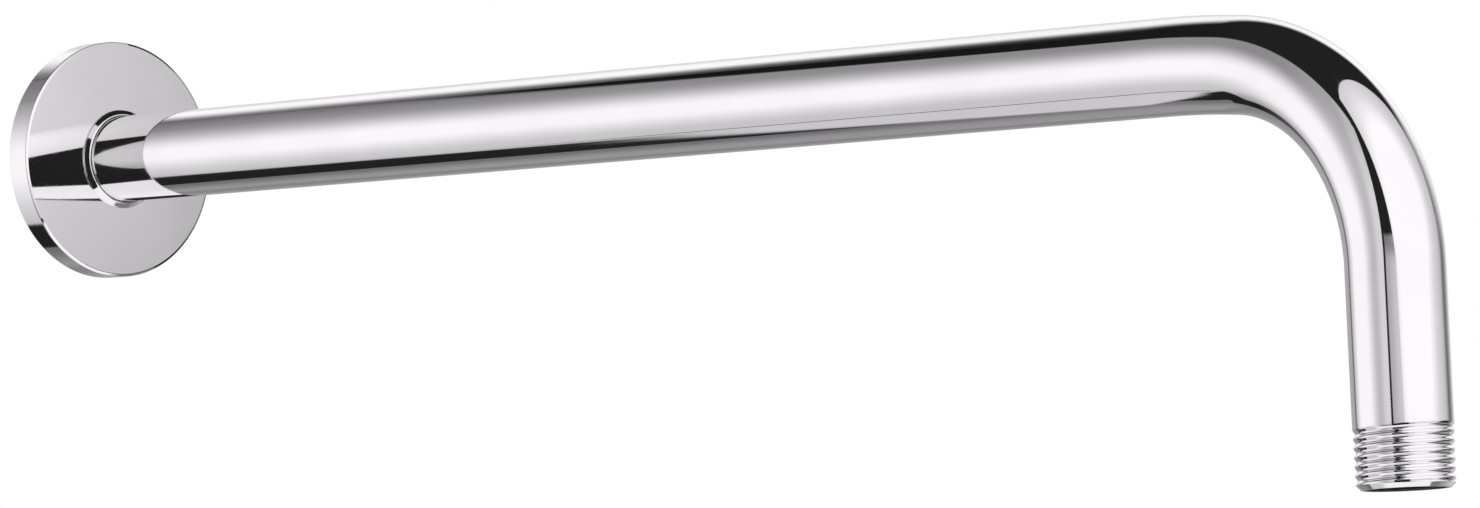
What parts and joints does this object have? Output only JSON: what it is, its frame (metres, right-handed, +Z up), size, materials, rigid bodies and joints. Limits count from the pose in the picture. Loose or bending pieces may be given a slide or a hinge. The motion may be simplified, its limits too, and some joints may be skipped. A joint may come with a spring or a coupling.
{
  "type": "shower arm",
  "caption": "Chromed wall-mounted shower arm: a round tube bent down at its outlet, threaded at both ends, with a sliding round wall flange.",
  "frame": {"origin": "on the tube's axis, at the wall plane where the flange's back rim lies and the threaded stub begins", "axes": "+X out of the wall along the arm, +Z up, the outlet leg pointing down"},
  "size_m": [0.4307, 0.055, 0.1144],
  "materials": {
    "chrome_tube": "polished chrome plate",
    "chrome_flange": "polished chrome plate",
    "seal_rubber": "matt black rubber"
  },
  "bodies": {
    "arm": {"arm": "chrome_tube"},
    "seal": {"flange_seal": "seal_rubber"},
    "flange": {"wall_flange": "chrome_flange"}
  },
  "joints": [
    {"name": "flange_slide", "type": "slide", "parent": "arm", "child": "seal", "axis": [1, 0, 0], "range_m": [0, 0.33]},
    {"name": "flange_turn", "type": "hinge", "parent": "seal", "child": "flange", "pos_m": [0, 0, 0], "axis": [1, 0, 0], "continuous": true}
  ]
}
